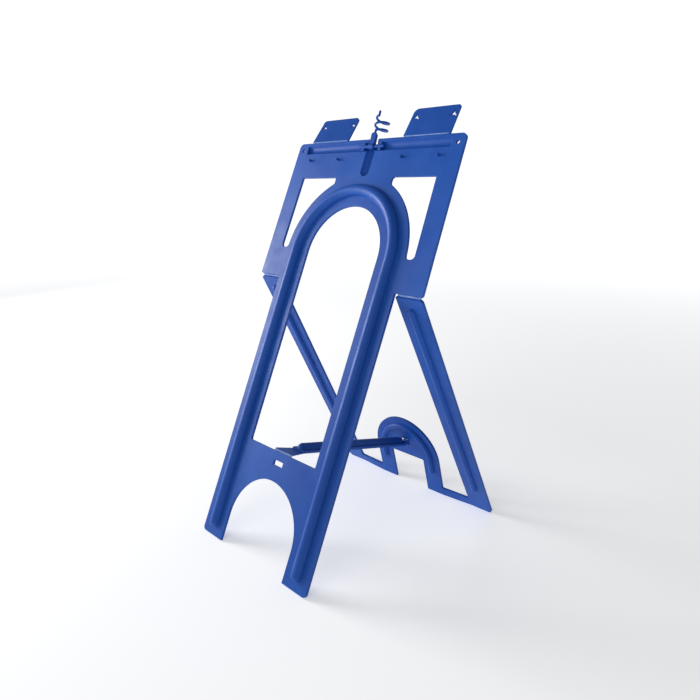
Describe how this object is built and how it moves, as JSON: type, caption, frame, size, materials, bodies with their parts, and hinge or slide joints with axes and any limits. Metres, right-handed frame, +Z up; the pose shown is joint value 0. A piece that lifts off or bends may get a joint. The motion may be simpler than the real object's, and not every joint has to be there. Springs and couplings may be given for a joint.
{
  "type": "folding sawhorse",
  "caption": "Folding A-frame stand in one moulded plastic sheet: arched front panel with head plate and windows, hinged rear frame, clip-in strut, fold-over flaps and a pigtail hook.",
  "frame": {"origin": "on the floor, at the middle of the footprint's bounding box", "axes": "+Z up, -Y to the front (the leaning panel's face), +X to the right of someone facing the front"},
  "size_m": [0.5328, 0.5786, 0.9853],
  "materials": {
    "sheet_plastic": "satin moulded polypropylene, saturated blue",
    "hinge_plastic": "stress-whitened thin web",
    "hook_plastic": "satin moulded plastic"
  },
  "bodies": {
    "front_panel": {"head_plate": "sheet_plastic", "arch_band": "sheet_plastic", "front_leg_right": "sheet_plastic", "front_leg_left": "sheet_plastic", "side_rail_right": "sheet_plastic", "side_rail_left": "sheet_plastic", "cross_panel": "sheet_plastic", "snap_pegs": "sheet_plastic", "axle_clips": "sheet_plastic", "rear_hinge_webs": "hinge_plastic", "brace_hinge_web": "hinge_plastic", "flap_web_right": "hinge_plastic", "flap_web_left": "hinge_plastic"},
    "rear_frame": {"rear_leg_right": "sheet_plastic", "rear_leg_left": "sheet_plastic", "foot_bar_right": "sheet_plastic", "foot_bar_left": "sheet_plastic", "rear_arch": "sheet_plastic", "arch_web": "sheet_plastic"},
    "strut": {"brace_tab": "sheet_plastic", "brace_bar": "sheet_plastic", "brace_hook": "sheet_plastic"},
    "flap_r": {"flap_right": "sheet_plastic"},
    "flap_l": {"flap_left": "sheet_plastic"},
    "pigtail": {"hook_stem": "hook_plastic", "hook_axle": "hook_plastic", "hook_coil": "hook_plastic"}
  },
  "joints": [
    {"name": "rear_fold", "type": "hinge", "parent": "front_panel", "child": "rear_frame", "pos_m": [0, -0.02756, 0.59764], "axis": [-1, 0, 0], "range_deg": [0, 47.5], "deforming": ["rear_hinge_webs", "brace_hook"]},
    {"name": "brace_fold", "type": "hinge", "parent": "front_panel", "child": "strut", "pos_m": [0, -0.18343, 0.23142], "axis": [-1, 0, 0], "range_deg": [0, 97.38], "deforming": ["brace_hinge_web"]},
    {"name": "flap_right_fold", "type": "hinge", "parent": "front_panel", "child": "flap_r", "pos_m": [0, 0.10548, 0.92315], "axis": [1, 0, 0], "range_deg": [0, 189], "deforming": ["flap_web_right"]},
    {"name": "flap_left_fold", "type": "hinge", "parent": "front_panel", "child": "flap_l", "pos_m": [0, 0.10548, 0.92315], "axis": [1, 0, 0], "range_deg": [0, 195], "deforming": ["flap_web_left"]},
    {"name": "hook_fold", "type": "hinge", "parent": "front_panel", "child": "pigtail", "pos_m": [0, 0.09798, 0.9045], "axis": [1, 0, 0], "range_deg": [0, 171]}
  ],
  "couplings": [
    {"joint": "brace_fold", "follows": "rear_fold", "ratio": 2.05}
  ]
}
